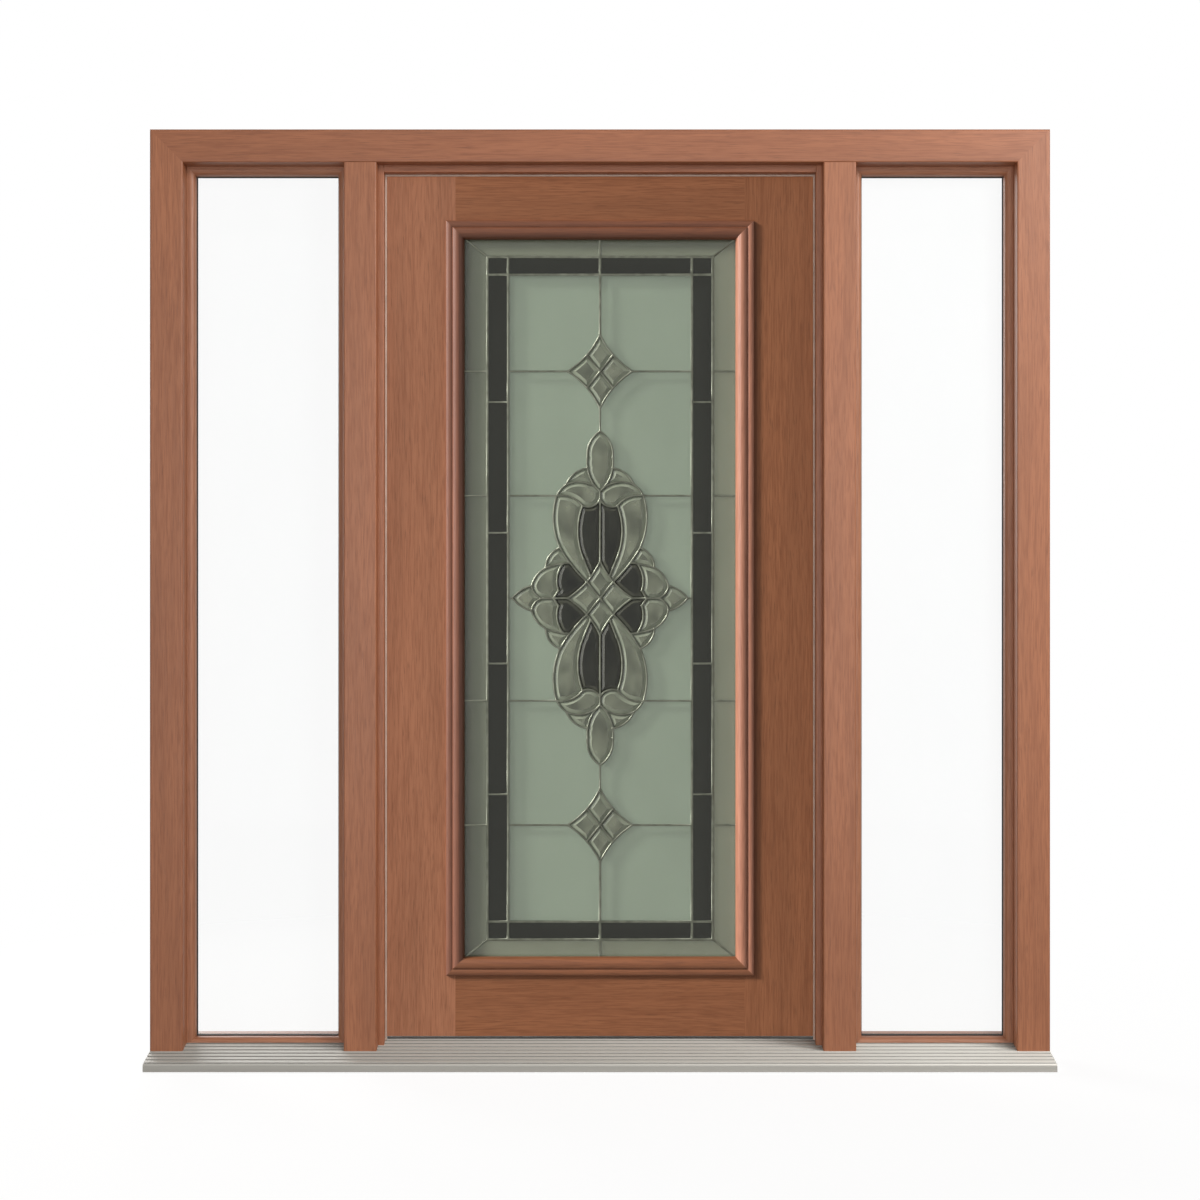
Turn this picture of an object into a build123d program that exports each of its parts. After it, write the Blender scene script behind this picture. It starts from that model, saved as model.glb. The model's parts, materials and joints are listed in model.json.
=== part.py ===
from build123d import *
import os

# Entrance door set: a hardwood frame with two sidelights and a leadlight leaf.
# +X is to the right seen from outside, +Y goes into the building, +Z is up.
# The origin is on the underside of the sill, midway along it, below the frame's front face.
# All sizes are in millimetres.

# Leaf
leaf_width = 1020
leaf_height = 2040
leaf_thickness = 44
leaf_arris = 1.5
stile_width = 168
top_rail_height = 134
bottom_rail_height = 166

# Gaps round the closed leaf
side_gap = 6.5
head_gap = 5
foot_gap = 7
seal_gap = 5

# Frame members
face_width = 77
frame_depth = 114
frame_width = 2100
arris_radius = 4
stop_front = 34
stop_step = 9.5
stop_arris = 2.5
face_setback = 4.5
head_setback = 7
glazing_rebate = 12
foot_rebate = 10

# Door seal
seal_thickness = 5
seal_proud = 3.5

# Sill
sill_projection = 74
nosing_height = 18
sill_slope = 0.2
slope_end = 70
sill_wall = 3
sill_web_count = 4
nosing_radius = 5
nosing_land = 5
groove_pitch = 18.5
groove_width = 6.5
groove_depth = 2.5
end_cap_thickness = 3

# Sidelight glazing
upstand_depth = 30
bead_depth = 25
bead_width = 19
bead_flat = 9
bead_edge = 9
gasket_thickness = 3
gasket_proud = 2.5
rear_tape_thickness = 1.5
sidelight_glass_thickness = 6.5
glass_clearance = 3

# Mouldings round the leaf's glass
moulding_overlap = 22
moulding_lip = 21
moulding_raise = 13
moulding_edge = 3
back_moulding_raise = 9

# Leadlight panel, its spacer and the pane behind it
came_width = 5.5
motif_came_width = 4
came_thickness = 6
joint_swell = 0.8
cell_thickness = 4
cell_gap = 0.25
spacer_width = 11
rear_pane_thickness = 4
came_setback = 10
unit_depth = 22

# Leadlight layout: strips inwards from the sight edge, then the motif and the small diamonds
outer_strip_width = 54
outer_strip_height = 40
dark_strip_width = 49
dark_strip_height = 42
dark_pane_height = 310
motif_side_margin = 10
diamond_top_margin = 141
diamond_gap = 54
diamond_half_width = 77
diamond_half_height = 88

# Hinges
hinge_end_distance = 230
hinge_height = 102
hinge_plate_thickness = 3
hinge_plate_width = 32
knuckle_radius = 6.5
knuckle_count = 5
knuckle_gap = 0.6
pin_radius = 4
pin_clearance = 0.05
pin_setout = 7

# Levels and faces worked out from the sizes above
half_width = frame_width / 2
slope_foot = nosing_height + sill_slope * sill_projection
platform = slope_foot + sill_slope * slope_end
leaf_foot = platform + foot_gap
leaf_top = leaf_foot + leaf_height
leaf_front = frame_depth - leaf_thickness
half_leaf = leaf_width / 2
lining = half_leaf + side_gap
head_lining = leaf_top + head_gap
face_bottom = head_lining + head_setback
frame_height = face_bottom + face_width - slope_foot
frame_top = slope_foot + frame_height
seal_back = leaf_front - seal_gap
stop_back = seal_back - seal_thickness
stop_edge = lining - stop_step
head_stop = head_lining - stop_step
mullion_inner = lining + face_setback
mullion_outer = mullion_inner + face_width
jamb_inner = half_width - face_width
upstand_front = frame_depth - upstand_depth
glass_back = upstand_front - rear_tape_thickness
glass_front = glass_back - sidelight_glass_thickness
gasket_front = glass_front - gasket_thickness
bead_front = gasket_front - bead_depth
opening_half_width = half_leaf - stile_width
opening_foot = leaf_foot + bottom_rail_height
opening_head = leaf_top - top_rail_height
glass_middle = (opening_foot + opening_head) / 2
opening_half_height = (opening_head - opening_foot) / 2
sight_half_width = opening_half_width - moulding_lip
sight_half_height = opening_half_height - moulding_lip
panel_half_width = opening_half_width - glass_clearance
panel_half_height = opening_half_height - glass_clearance
came_front = leaf_front + came_setback
came_back = came_front + came_thickness
rear_pane_back = came_front + unit_depth
rear_pane_front = rear_pane_back - rear_pane_thickness
pin_x = -half_leaf - side_gap / 2
pin_y = frame_depth + pin_setout
hinge_middles = (hinge_end_distance, leaf_height / 2, leaf_height - hinge_end_distance)
hinge_feet = [leaf_foot + middle - hinge_height / 2 for middle in hinge_middles]
outer_border_half_width = sight_half_width - outer_strip_width
outer_border_half_height = sight_half_height - outer_strip_height
inner_border_half_width = outer_border_half_width - dark_strip_width
inner_border_half_height = outer_border_half_height - dark_strip_height
diamond_height = inner_border_half_height - diamond_top_margin - diamond_half_height
motif_half_width = inner_border_half_width - motif_side_margin
motif_half_height = diamond_height - diamond_half_height - diamond_gap


# Basic shapes
def block(x, y, z):
    corner = Pos(x[0], y[0], z[0])
    return corner * Box(x[1] - x[0], y[1] - y[0], z[1] - z[0], align=(Align.MIN,) * 3)


def outline(points):
    return make_face(Polyline(*points, close=True))


def crosswise(points, x):
    return extrude(Plane.YZ.offset(x[0]) * outline(points), amount=x[1] - x[0])


def plate(face, y):
    return extrude(Plane.XZ.offset(-y[1]) * face, amount=y[1] - y[0])


def mirrored(shape):
    return mirror(shape, about=Plane.YZ)


def save(node, *shapes):
    solids = [solid for shape in shapes for solid in shape.solids()]
    export_step(Compound(solids), f"parts/{node}.step")


# Sill
def groove_fronts():
    """The front edge of each groove across the slope, from the nosing back."""
    run = sill_projection + slope_end - nosing_land - groove_width
    count = int(run / groove_pitch) + 1
    first = nosing_land - sill_projection
    return [first + index * groove_pitch for index in range(count)]


def ribbed_line():
    """The ribbed top, from the nosing to the back of the platform."""
    line = []
    place = (-sill_projection, nosing_height)
    for front in groove_fronts():
        back = front + groove_width
        middle = (front + back) / 2
        edge = (front, sill_top(front))
        bottom = (middle, sill_top(middle) - groove_depth)
        line.append(Line(place, edge))
        place = (back, sill_top(back))
        line.append(ThreePointArc(edge, bottom, place))
    line.append(Line(place, (slope_end, platform)))
    line.append(Line((slope_end, platform), (frame_depth, platform)))
    return line


def sill_top(y):
    return slope_foot + sill_slope * y


def sill_outline():
    foot = [
        Line((frame_depth, platform), (frame_depth, 0)),
        Line((frame_depth, 0), (-sill_projection, 0)),
        Line((-sill_projection, 0), (-sill_projection, nosing_height)),
    ]
    section = make_face(ribbed_line() + foot)
    nosing = section.vertices().group_by(Axis.X)[0].sort_by(Axis.Y)[-1]
    return fillet(nosing, nosing_radius)


def sill_hollows():
    """The cells between the webs, cut out of the extrusion."""
    first = -sill_projection + sill_wall
    cell = (frame_depth - sill_wall - first) / (sill_web_count + 1)
    cover = sill_wall + groove_depth
    cells = []
    for index in range(sill_web_count + 1):
        front = first + index * cell + (sill_wall / 2 if index else 0)
        back = first + (index + 1) * cell - (sill_wall / 2 if index < sill_web_count else 0)
        points = [(front, sill_wall), (back, sill_wall)]
        points.append((back, min(sill_top(back), platform) - cover))
        if front < slope_end < back:
            points.append((slope_end, platform - cover))
        points.append((front, min(sill_top(front), platform) - cover))
        cells.append(points)
    return cells


def make_sill():
    end = half_width - end_cap_thickness
    body = extrude(Plane.YZ.offset(-end) * sill_outline(), amount=2 * end)
    for points in sill_hollows():
        body -= crosswise(points, (-end, end))
    return body


def make_end_cap():
    inside = half_width - end_cap_thickness
    return extrude(Plane.YZ.offset(inside) * sill_outline(), amount=end_cap_thickness)


def below_sill():
    """Everything under the sill's ridge line, which the feet are cut to."""
    points = [
        (-sill_projection, -1),
        (frame_depth + 1, -1),
        (frame_depth + 1, platform),
        (slope_end, platform),
        (-sill_projection, nosing_height),
    ]
    return crosswise(points, (-half_width - 1, half_width + 1))


# Frame
def post_section():
    """The plain section of an upright, with both front arrises eased."""
    section = Rectangle(face_width, frame_depth, align=Align.MIN)
    return fillet(section.vertices().group_by(Axis.Y)[0], arris_radius)


def hinge_pockets(x):
    """The seats of the hinge plates, for the faces between x[0] and x[1]."""
    y = (frame_depth - hinge_plate_width, frame_depth)
    return [block(x, y, (z, z + hinge_height)) for z in hinge_feet]


def make_jamb():
    post = Pos(jamb_inner, 0) * extrude(post_section(), amount=frame_top)
    corner = [
        (jamb_inner - 1, face_bottom - 1),
        (jamb_inner - 1, frame_top + 1),
        (half_width + 1, frame_top + 1),
    ]
    post -= plate(outline(corner), (-1, frame_depth + 1))
    upstand = block(
        (jamb_inner - glazing_rebate, jamb_inner), (upstand_front, frame_depth), (0, face_bottom)
    )
    return post + upstand - below_sill()


def make_mullion():
    post = Pos(mullion_inner, 0) * extrude(post_section(), amount=face_bottom)
    stop = block((stop_edge, mullion_inner), (stop_front, stop_back), (0, face_bottom))
    corner = stop.edges().filter_by(Axis.Z).group_by(Axis.X)[0].sort_by(Axis.Y)[0]
    stop = fillet(corner, stop_arris)
    inner_lining = block((lining, mullion_inner), (stop_back, frame_depth), (0, face_bottom))
    upstand = block(
        (mullion_outer, mullion_outer + glazing_rebate), (upstand_front, frame_depth), (0, face_bottom)
    )
    return post + stop + inner_lining + upstand - below_sill()


def make_head():
    section = Rectangle(frame_depth, face_width, align=Align.MIN)
    section = fillet(section.vertices().group_by(Axis.X)[0], arris_radius)
    bar = extrude(Plane.YZ * Pos(0, face_bottom) * section, amount=half_width, both=True)
    corner = [
        (jamb_inner, face_bottom),
        (half_width + 1, frame_top + 1),
        (half_width + 1, face_bottom - 1),
        (jamb_inner, face_bottom - 1),
    ]
    end = plate(outline(corner), (-1, frame_depth + 1))
    bar = bar - end - mirrored(end)
    upstand = block(
        (mullion_outer + glazing_rebate, jamb_inner - glazing_rebate),
        (upstand_front, frame_depth),
        (face_bottom - glazing_rebate, face_bottom),
    )
    stop = block((-stop_edge, stop_edge), (stop_front, stop_back), (head_stop, face_bottom))
    corner = stop.edges().filter_by(Axis.X).group_by(Axis.Z)[0].sort_by(Axis.Y)[0]
    stop = fillet(corner, stop_arris)
    inner_lining = block((-lining, lining), (stop_back, frame_depth), (head_lining, face_bottom))
    return bar + upstand + mirrored(upstand) + stop + inner_lining


# Door seals, in the corner behind the stops
def make_side_seal():
    x = (stop_edge - seal_proud, lining)
    return block(x, (stop_back, seal_back), (platform, head_lining))


def make_top_seal():
    x = stop_edge - seal_proud
    z = (head_stop - seal_proud, head_lining)
    return block((-x, x), (stop_back, seal_back), z)


# Sidelights, modelled on the right-hand side
sidelight_left = mullion_outer
sidelight_right = jamb_inner
sidelight_foot = platform
sidelight_head = face_bottom


def bead_section():
    """Across from the frame, back from the bead's front: flat, then splayed to the glass."""
    depth = bead_depth
    front = Line((0, 0), (bead_flat, 0))
    splay = ThreePointArc(
        (bead_flat, 0),
        (bead_flat + 0.72 * (bead_width - bead_flat), 0.28 * (depth - bead_edge)),
        (bead_width, depth - bead_edge),
    )
    edge = Line((bead_width, depth - bead_edge), (bead_width, depth))
    back = Line((bead_width, depth), (0, depth))
    return make_face([front, splay, edge, back, Line((0, depth), (0, 0))])


def mitre(corners, y):
    """The space of one side of a mitred frame, between its outer and inner corners."""
    return plate(outline(corners), y)


def make_beads():
    y = (bead_front, gasket_front)
    left, right = sidelight_left, sidelight_right
    foot, head = sidelight_foot, sidelight_head
    low = foot - bead_width + foot_rebate - gasket_proud
    inner_foot = foot + foot_rebate - gasket_proud
    inner = (left + bead_width, right - bead_width, inner_foot, head - bead_width)
    long_bead = extrude(bead_section(), amount=head - low)
    side = Pos(left, bead_front, low) * long_bead
    cross_bead = extrude(bead_section(), amount=right - left)
    # Laid along X: the section's width goes up, its depth stays along Y.
    flat = Rot(0, 90, 0) * Rot(0, 0, 180) * mirror(cross_bead, about=Plane.XZ)
    foot_bead = Pos(left, bead_front, low) * flat
    wedges = {
        "inner": [(left, low), (left, head), (inner[0], inner[3]), (inner[0], inner[2])],
        "top": [(left, head), (right, head), (inner[1], inner[3]), (inner[0], inner[3])],
        "outer": [(right, head), (right, low), (inner[1], inner[2]), (inner[1], inner[3])],
        "bottom": [(left, low), (inner[0], inner[2]), (inner[1], inner[2]), (right, low)],
    }
    across = Plane.YZ.offset((left + right) / 2)
    level = Plane.XY.offset((low + head) / 2)
    bars = {
        "inner": side,
        "outer": mirror(side, about=across),
        "bottom": foot_bead,
        "top": mirror(foot_bead, about=level),
    }
    return {name: bars[name] & mitre(wedges[name], y) for name in bars}


def ring(x, z, y, widths):
    """A flat frame: outer limits x and z, with the widths of its sides, top and foot."""
    side, top, foot = widths
    hole = block((x[0] + side, x[1] - side), (y[0] - 1, y[1] + 1), (z[0] + foot, z[1] - top))
    return block(x, y, z) - hole


def make_gaskets():
    x = (sidelight_left, sidelight_right)
    z = (sidelight_foot, sidelight_head)
    covered = bead_width + gasket_proud
    front = ring(x, z, (gasket_front, glass_front), (covered, covered, foot_rebate))
    rear_widths = (glazing_rebate, glazing_rebate, foot_rebate)
    rear = ring(x, z, (glass_back, upstand_front), rear_widths)
    return [front, rear]


def make_sidelight_glass():
    x = (sidelight_left + glass_clearance, sidelight_right - glass_clearance)
    z = (sidelight_foot + glass_clearance, sidelight_head - glass_clearance)
    return block(x, (glass_front, glass_back), z)


def make_foot_stop():
    """The strip on the sill behind the glass, between the rear upstands."""
    x = (sidelight_left + glazing_rebate, sidelight_right - glazing_rebate)
    z = (sidelight_foot, sidelight_foot + foot_rebate)
    return block(x, (upstand_front, frame_depth), z)


# Leaf
def make_lock_stile():
    stile = block((opening_half_width, half_leaf), (leaf_front, frame_depth), (leaf_foot, leaf_top))
    return fillet(stile.edges().filter_by(Axis.Z).group_by(Axis.X)[-1], leaf_arris)


def make_rail(z):
    return block((-opening_half_width, opening_half_width), (leaf_front, frame_depth), z)


def moulding_section(height, seat):
    """Out from the sight edge, up from the leaf's face; seat is how deep the glass lies."""
    width = moulding_overlap + moulding_lip
    foot = (0, moulding_edge - seat)
    brow = (0.27 * width, 0.93 * height)
    crest_end = (0.57 * width, 0.87 * height)
    quirk = (0.64 * width, 0.62 * height)
    rim = (0.96 * width, 0.64 * height)
    edge = (width, 0.5 * height)
    lines = [
        Line((0, -seat), foot),
        ThreePointArc(foot, (0.09 * width, 0.52 * height), brow),
        ThreePointArc(brow, (0.42 * width, height), crest_end),
        ThreePointArc(crest_end, (0.61 * width, 0.78 * height), quirk),
        ThreePointArc(quirk, (0.8 * width, 0.76 * height), rim),
        ThreePointArc(rim, (0.985 * width, 0.59 * height), edge),
        Polyline(edge, (width, 0), (moulding_lip, 0), (moulding_lip, -seat), (0, -seat)),
    ]
    return make_face(lines)


def make_mouldings(height, seat):
    """A mitred moulding, on a face at y = 0 that looks towards -Y, as left, right, foot, top."""
    width = moulding_overlap + moulding_lip
    half_x, half_z = sight_half_width, sight_half_height
    far_x, far_z = half_x + width, half_z + width
    section = moulding_section(height, seat)
    y = (-height - 1, seat + 1)
    # The section's first axis goes outwards and its second one to the front.
    long_side = extrude(mirror(section, about=Plane.XZ), amount=far_z, both=True)
    right = Pos(half_x, 0, 0) * long_side
    cross = extrude(mirror(section, about=Plane.XZ), amount=far_x, both=True)
    top = Pos(0, 0, half_z) * (Rot(0, -90, 0) * cross)
    right_wedge = [(half_x, -half_z), (far_x, -far_z), (far_x, far_z), (half_x, half_z)]
    top_wedge = [(-half_x, half_z), (half_x, half_z), (far_x, far_z), (-far_x, far_z)]
    right = right & mitre(right_wedge, y)
    top = top & mitre(top_wedge, y)
    return [mirrored(right), right, mirror(top, about=Plane.XY), top]


# Leadlight
# The middle of a diamond's hollow side, where the quartering lines and the heart's foot end
diamond_waist = (0.405, 0.441)
# The motif's points that more than one line uses, in percent of its half-width and half-height
shoulder = (49.5, 61.4)
petal_foot = (0, 64)
wing_root = (38.7, 68)
drop_top = (20, 55.4)
drop_side = (18.8, 23.3)
heart_foot = (45.7, 30.2)
scallop_low = (62, 18.2)
scallop_end = (77.9, 7.6)
lobe_side = (47.5, 4.5)
lobe_tip = 53.4
tip_start = 64.4


def spot(across, up):
    """A point of the motif, in percent of its half-width and half-height."""
    return (across * motif_half_width / 100, up * motif_half_height / 100)


def flipped(point, side, end):
    return (side * point[0], end * point[1])


def dark_crossings():
    """Heights above the middle at which the upright dark strips are divided."""
    count = int(inner_border_half_height / dark_pane_height + 0.5)
    return [(index + 0.5) * dark_pane_height for index in range(count)]


def border_lines():
    width, height = outer_border_half_width, outer_border_half_height
    inner_w, inner_h = inner_border_half_width, inner_border_half_height
    edge_w = panel_half_width - came_width / 2
    edge_h = panel_half_height - came_width / 2
    lines = []
    top_diamond = diamond_height + diamond_half_height
    for side in (-1, 1):
        lines.append(Line((side * edge_w, -panel_half_height), (side * edge_w, panel_half_height)))
        lines.append(Line((side * width, -height), (side * width, height)))
        lines.append(Line((side * inner_w, -height), (side * inner_w, height)))
        lines.append(Line((-edge_w, side * edge_h), (edge_w, side * edge_h)))
        lines.append(Line((-width, side * height), (width, side * height)))
        lines.append(Line((-width, side * inner_h), (width, side * inner_h)))
        lines.append(Line((0, side * top_diamond), (0, side * edge_h)))
    return lines


def cross_lines():
    """The thinner cames that divide the two borders."""
    width, height = outer_border_half_width, outer_border_half_height
    inner_w = inner_border_half_width
    edge_w = panel_half_width - came_width / 2
    edge_h = panel_half_height - came_width / 2
    lines = []
    for side in (-1, 1):
        for end in (-1, 1):
            lines.append(Line((side * width, end * height), (side * edge_w, end * edge_h)))
            for level in dark_crossings():
                lines.append(Line((side * inner_w, end * level), (side * width, end * level)))
            for level in (spot(*shoulder)[1], diamond_height):
                lines.append(Line((side * width, end * level), (side * edge_w, end * level)))
    return lines


def on_diamond(across, up):
    """A point of a diamond, as shares of its half-width and half-height."""
    return (across * diamond_half_width, up * diamond_half_height)


def diamond_lines(height):
    """A diamond with hollow sides, quartered from the middles of its sides."""
    middle = on_diamond(*diamond_waist)
    lines = []
    for side in (-1, 1):
        for end in (-1, 1):
            via = (side * middle[0], height + end * middle[1])
            tip = (0, height + end * diamond_half_height)
            flank = (side * diamond_half_width, height)
            lines.append(ThreePointArc(tip, via, flank))
            lines.append(Line((0, height), via))
    return lines


def motif_arcs():
    """One quarter of the motif: each arc's start, a point on it and its end."""
    return [
        (spot(0, 100), spot(10.8, 94), spot(14.4, 84)),
        (spot(14.4, 84), spot(12, 73), spot(*petal_foot)),
        (spot(14, 78), spot(27.6, 75.3), spot(*wing_root)),
        (spot(*wing_root), spot(44.7, 65.2), spot(*shoulder)),
        (spot(*wing_root), spot(21.5, 69.6), spot(*petal_foot)),
        (spot(*shoulder), spot(35.5, 61), spot(*drop_top)),
        (spot(*drop_top), spot(9, 55.1), spot(0, 59.3)),
        (spot(*shoulder), spot(53.2, 46.5), spot(*heart_foot)),
        (spot(*heart_foot), spot(31.5, 19.2), on_diamond(*diamond_waist)),
        (spot(*drop_top), spot(25.2, 43), spot(*drop_side)),
        (spot(*heart_foot), spot(55.8, 26.7), spot(*scallop_low)),
        (spot(*scallop_low), spot(72, 13.9), spot(*scallop_end)),
        (spot(*scallop_end), spot(89.5, 5), spot(100, 0)),
        (spot(*scallop_low), spot(49, 20.2), spot(34.8, 21.2)),
        (spot(42.5, 20.7), spot(49, 12.6), spot(*lobe_side)),
        (spot(*scallop_end), spot(72.5, 1.8), spot(tip_start, 0)),
    ]


def motif_lines():
    lines = diamond_lines(0) + diamond_lines(diamond_height) + diamond_lines(-diamond_height)
    for side in (-1, 1):
        for end in (-1, 1):
            for arc in motif_arcs():
                lines.append(ThreePointArc(*[flipped(point, side, end) for point in arc]))
            drop_foot = flipped(spot(*drop_side), side, end)
            lines.append(Line(drop_foot, flipped(on_diamond(0.29, 0.58), side, end)))
            lobe_foot = flipped(spot(*lobe_side), side, end)
            lines.append(Line(lobe_foot, (side * spot(lobe_tip, 0)[0], 0)))
            corner = flipped(spot(*shoulder), side, end)
            inner_edge = side * inner_border_half_width
            lines.append(Line(corner, (inner_edge, corner[1])))
            flank = (side * diamond_half_width, end * diamond_height)
            lines.append(Line(flank, (inner_edge, end * diamond_height)))
        lines.append(Line((side * diamond_half_width, 0), (side * spot(tip_start, 0)[0], 0)))
        lines.append(Line((side * motif_half_width, 0), (side * inner_border_half_width, 0)))
        under_diamond = diamond_height - diamond_half_height
        lines.append(Line((0, side * motif_half_height), (0, side * under_diamond)))
        lines.append(Line((0, side * spot(*petal_foot)[1]), (0, side * diamond_half_height)))
    return lines


def joints(lines):
    """The ends of the lines, each once, where the cames are soldered together."""
    ends = {}
    for line in lines:
        for share in (0, 1):
            point = line @ share
            ends[(round(point.X), round(point.Y))] = (point.X, point.Y)
    return [point for point in ends.values()]


def lead_network(groups, spare):
    """The cames as seen from the front, each wider by spare on both sides."""
    network = Sketch()
    for lines, width in groups:
        network += [trace(line, width + 2 * spare) for line in lines]
        radius = width / 2 + joint_swell + spare
        network += [Pos(*point) * Circle(radius) for point in joints(lines)]
    panel = Rectangle(2 * panel_half_width, 2 * panel_half_height)
    return network & panel


def place_cells(faces):
    front = came_front + (came_thickness - cell_thickness) / 2
    cells = [plate(face, (front, front + cell_thickness)) for face in faces]
    return [Pos(0, 0, glass_middle) * cell for cell in cells]


def sort_cells(faces):
    """Group the cells by where they lie, and the motif's by whether they are dark."""
    quarters = [(1, 1), (1, -1), (-1, 1), (-1, -1)]
    dark_spots = [spot(11.5, 38), spot(43.5, 9)]
    dark_points = [Vector(*flipped(point, *signs)) for point in dark_spots for signs in quarters]
    groups = {"outer": [], "band": [], "field": [], "clear": [], "dark": []}
    for face in faces:
        middle = face.center()
        x, z = abs(middle.X), abs(middle.Y)
        box = face.bounding_box()
        reach = max(abs(box.min.X), abs(box.max.X))
        if x > outer_border_half_width or z > outer_border_half_height:
            groups["outer"].append(face)
        elif x > inner_border_half_width or z > inner_border_half_height:
            groups["band"].append(face)
        elif reach > inner_border_half_width - came_width:
            groups["field"].append(face)
        elif any(face.is_inside(point) for point in dark_points):
            groups["dark"].append(face)
        else:
            groups["clear"].append(face)
    return groups


def make_leadlight():
    lines = [(border_lines(), came_width), (cross_lines() + motif_lines(), motif_came_width)]
    panel = Rectangle(2 * panel_half_width, 2 * panel_half_height)
    # The lead is what its openings leave of the panel, so ends that only touch still make one piece.
    openings = (panel - lead_network(lines, 0)).faces()
    came = plate(panel - openings, (came_front, came_back))
    groups = sort_cells((panel - lead_network(lines, cell_gap)).faces())
    return Pos(0, 0, glass_middle) * came, {name: place_cells(groups[name]) for name in groups}


def make_rear_pane():
    x, z = panel_half_width, panel_half_height
    height = (glass_middle - z, glass_middle + z)
    return block((-x, x), (rear_pane_front, rear_pane_back), height)


def make_spacer():
    x, z = panel_half_width, panel_half_height
    height = (glass_middle - z, glass_middle + z)
    return ring((-x, x), height, (came_back, rear_pane_front), (spacer_width,) * 3)


# Hinges
def knuckle(index, z):
    """One of the knuckles of a hinge whose foot is at z, without its bore."""
    step = hinge_height / knuckle_count
    low = z + index * step + (knuckle_gap / 2 if index else 0)
    high = z + (index + 1) * step - (knuckle_gap / 2 if index < knuckle_count - 1 else 0)
    tube = Pos(pin_x, pin_y, low) * extrude(Circle(knuckle_radius), amount=high - low)
    return tube, (low, high)


def hinge_half(plate_x, numbers, z):
    """A plate in its pocket, carried back to its own knuckles on the pin's axis."""
    edge = frame_depth - hinge_plate_width
    half = block(plate_x, (edge, frame_depth), (z, z + hinge_height))
    for number in numbers:
        tube, span = knuckle(number, z)
        half += tube + block(plate_x, (frame_depth, pin_y), span)
    return half


def pin_rod(radius, z):
    return Pos(pin_x, pin_y, z) * extrude(Circle(radius), amount=hinge_height)


def make_frame_hinges():
    plate_x = (-lining - hinge_plate_thickness, -lining)
    numbers = range(0, knuckle_count, 2)
    return [hinge_half(plate_x, numbers, z) + pin_rod(pin_radius, z) for z in hinge_feet]


def make_leaf_hinges():
    plate_x = (-half_leaf, hinge_plate_thickness - half_leaf)
    numbers = range(1, knuckle_count, 2)
    bore = pin_radius + pin_clearance
    return [hinge_half(plate_x, numbers, z) - pin_rod(bore, z) for z in hinge_feet]


# Write every node
os.makedirs("parts", exist_ok=True)

save("sill", make_sill())
cap = make_end_cap()
save("right_sill_end_cap", cap)
save("left_sill_end_cap", mirrored(cap))

jamb = make_jamb()
save("right_jamb", jamb)
save("left_jamb", mirrored(jamb))
mullion = make_mullion()
save("right_mullion", mullion)
frame_pockets = hinge_pockets((-lining - hinge_plate_thickness, -lining))
save("left_mullion", mirrored(mullion) - frame_pockets)
save("head", make_head())

seal = make_side_seal()
save("right_door_seal", seal)
save("left_door_seal", mirrored(seal))
save("top_door_seal", make_top_seal())

beads = {name: bead - below_sill() for name, bead in make_beads().items()}
foot_stop = make_foot_stop()
for name, bead in beads.items():
    extra = [foot_stop] if name == "bottom" else []
    save(f"right_sidelight_{name}_bead", bead, *extra)
    save(f"left_sidelight_{name}_bead", *[mirrored(shape) for shape in [bead] + extra])
gaskets = make_gaskets()
save("right_sidelight_gasket", *gaskets)
save("left_sidelight_gasket", *[mirrored(gasket) for gasket in gaskets])
pane = make_sidelight_glass()
save("right_sidelight_glass", pane)
save("left_sidelight_glass", mirrored(pane))

lock_stile = make_lock_stile()
leaf_pockets = hinge_pockets((-half_leaf, hinge_plate_thickness - half_leaf))
save("lock_stile", lock_stile)
save("hinge_stile", mirrored(lock_stile) - leaf_pockets)
save("top_rail", make_rail((opening_head, leaf_top)))
save("bottom_rail", make_rail((leaf_foot, opening_foot)))

sides = ("left", "right", "bottom", "top")
front_place = Pos(0, leaf_front, glass_middle)
for side, shape in zip(sides, make_mouldings(moulding_raise, came_setback)):
    save(f"front_moulding_{side}", front_place * shape)
back_seat = frame_depth - rear_pane_back
back_place = Pos(0, frame_depth, glass_middle)
for side, shape in zip(sides, make_mouldings(back_moulding_raise, back_seat)):
    save(f"back_moulding_{side}", back_place * mirror(shape, about=Plane.XZ))

came, cells = make_leadlight()
save("leadlight_came", came)
save("outer_border_glass", *cells["outer"])
save("dark_border_glass", *cells["band"])
save("field_glass", *cells["field"])
save("motif_clear_bevels", *cells["clear"])
save("motif_dark_bevels", *cells["dark"])
save("rear_obscure_pane", make_rear_pane())
save("glass_edge_spacer", make_spacer())

save("frame_hinge_plates", *make_frame_hinges())
save("leaf_hinge_plates", *make_leaf_hinges())
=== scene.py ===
"""Finishes, leadlight and stage for an entrance door set with two sidelights."""
import json
import math

import bmesh
import bpy
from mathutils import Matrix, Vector
from mathutils.geometry import delaunay_2d_cdt, intersect_point_line

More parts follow.
